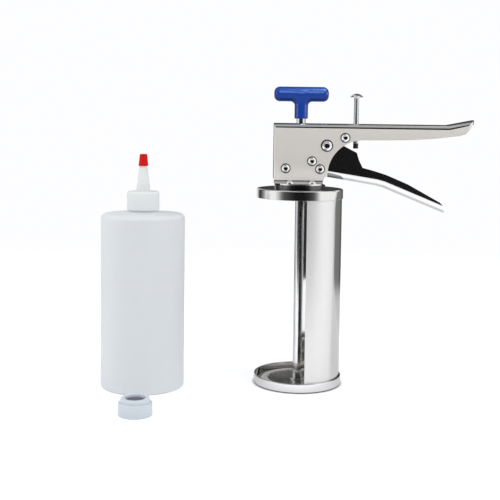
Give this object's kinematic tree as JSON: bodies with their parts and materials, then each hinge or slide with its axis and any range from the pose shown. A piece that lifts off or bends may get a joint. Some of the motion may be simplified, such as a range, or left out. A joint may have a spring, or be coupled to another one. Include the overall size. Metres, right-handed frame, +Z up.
{
  "type": "sauce dispenser",
  "caption": "Hand-held ratchet sauce gun with a half-open cradle, T-handled push rod and squeeze trigger, its round nozzle bottle and a spare valve cap.",
  "frame": {"origin": "centre of the cradle's bottom dish, on the plane that it stands on", "axes": "+X along the handle to its tip, +Z up along the push rod, +Y away from the side on which the spare cap stands"},
  "size_m": [0.3631, 0.1705, 0.2947],
  "materials": {
    "polished_steel": "mirror-polished stainless sheet",
    "satin_steel": "fine satin stainless plate",
    "pin_steel": "polished stainless rivets and pins",
    "rod_steel": "bright ground stainless rod",
    "hard_steel": "hardened, fine ground",
    "spring_steel": "drawn wire",
    "white_nylon": "moulded",
    "blue_plastic": "moulded, semi-gloss",
    "black_rubber": "moulded",
    "bottle_plastic": "blown polyethylene, milky translucent",
    "cap_plastic": "moulded polyethylene, milky",
    "red_plastic": "moulded, semi-gloss",
    "clear_plastic": "moulded polypropylene, bluish",
    "grey_silicone": "moulded silicone"
  },
  "bodies": {
    "frame": {"bottom_dish": "polished_steel", "cradle_shell": "polished_steel", "top_cap": "polished_steel", "foot_pad": "polished_steel", "housing": "satin_steel", "foot_rivets": "pin_steel", "rod_bush": "white_nylon", "rod_guide": "white_nylon", "guide_pin": "pin_steel", "holding_pawl_pin": "pin_steel", "rest_stop_pin": "pin_steel", "trigger_pin": "pin_steel", "squeeze_stop_pin": "pin_steel", "rest_stop_sleeve": "hard_steel", "screw_nut": "hard_steel", "trigger_spring": "spring_steel", "holding_pawl_spring": "spring_steel"},
    "plunger": {"push_plate": "polished_steel", "plate_washer": "polished_steel"},
    "rod": {"push_rod": "rod_steel", "rod_nut": "hard_steel", "t_handle": "blue_plastic"},
    "trigger": {"trigger": "polished_steel", "trigger_bush": "hard_steel", "drive_pawl_pin": "pin_steel", "drive_pawl_spring": "spring_steel"},
    "drive_pawl": {"drive_pawl": "hard_steel"},
    "holding_pawl": {"holding_pawl": "hard_steel"},
    "screw_foot": {"screw_tip": "black_rubber"},
    "screw": {"adjusting_screw": "rod_steel"},
    "bottle": {"bottle": "bottle_plastic"},
    "follower": {"follower": "cap_plastic"},
    "cap_seal": {"cap_seal": "white_nylon"},
    "nozzle": {"nozzle_cap": "cap_plastic"},
    "tip_cap": {"tip_cap": "red_plastic"},
    "spare_cap": {"spare_cap": "clear_plastic", "spare_valve": "grey_silicone", "spare_valve_ring": "clear_plastic"}
  },
  "joints": [
    {"name": "plunger_slide", "type": "slide", "parent": "frame", "child": "plunger", "axis": [0, 0, 1], "range_m": [0, 0.18]},
    {"name": "rod_turn", "type": "hinge", "parent": "plunger", "child": "rod", "pos_m": [0, 0, 0.0025], "axis": [0, 0, -1], "range_deg": [0, 90]},
    {"name": "trigger_squeeze", "type": "hinge", "parent": "frame", "child": "trigger", "pos_m": [0.0251, 0, 0.2374], "axis": [0, -1, 0], "range_deg": [0, 18.5], "stiffness_Nm_per_rad": 0.6, "springref_deg": -20.05},
    {"name": "drive_pawl_turn", "type": "hinge", "parent": "trigger", "child": "drive_pawl", "pos_m": [0.0111, 0, 0.2374], "axis": [0, -1, 0], "range_deg": [-19, 0.5]},
    {"name": "holding_pawl_turn", "type": "hinge", "parent": "frame", "child": "holding_pawl", "pos_m": [0.0108, 0, 0.2221], "axis": [0, -1, 0], "range_deg": [0, 10], "stiffness_Nm_per_rad": 0.05, "springref_deg": -22.92},
    {"name": "screw_advance", "type": "slide", "parent": "frame", "child": "screw_foot", "axis": [0, 0, 1], "range_m": [-0.025, 0.01]},
    {"name": "screw_turn", "type": "hinge", "parent": "screw_foot", "child": "screw", "pos_m": [0.0543, 0, 0.26], "axis": [0, 0, 1], "range_deg": [-11252, 4502]},
    {"name": "bottle_lift", "type": "slide", "parent": "frame", "child": "bottle", "axis": [0, 0, 1], "range_m": [0, 0.1]},
    {"name": "follower_slide", "type": "slide", "parent": "bottle", "child": "follower", "axis": [0, 0, 1], "range_m": [0, 0.14]},
    {"name": "nozzle_rise", "type": "slide", "parent": "bottle", "child": "cap_seal", "axis": [0, 0, 1], "range_m": [0, 0.00846]},
    {"name": "nozzle_turn", "type": "hinge", "parent": "cap_seal", "child": "nozzle", "pos_m": [-0.1532, -0.017, 0.18], "axis": [0, 0, 1], "range_deg": [-0.5, 722]},
    {"name": "tip_cap_pull", "type": "slide", "parent": "nozzle", "child": "tip_cap", "axis": [0, 0, 1], "range_m": [0, 0.015]},
    {"name": "spare_cap_lift", "type": "slide", "parent": "frame", "child": "spare_cap", "axis": [0, 0, 1], "range_m": [0, 0.1]}
  ],
  "couplings": [
    {"joint": "drive_pawl_turn", "follows": "trigger_squeeze", "ratio": -1},
    {"joint": "screw_turn", "follows": "screw_advance", "rad_per_m": 7854},
    {"joint": "nozzle_turn", "follows": "nozzle_rise", "rad_per_m": 1485.4}
  ]
}
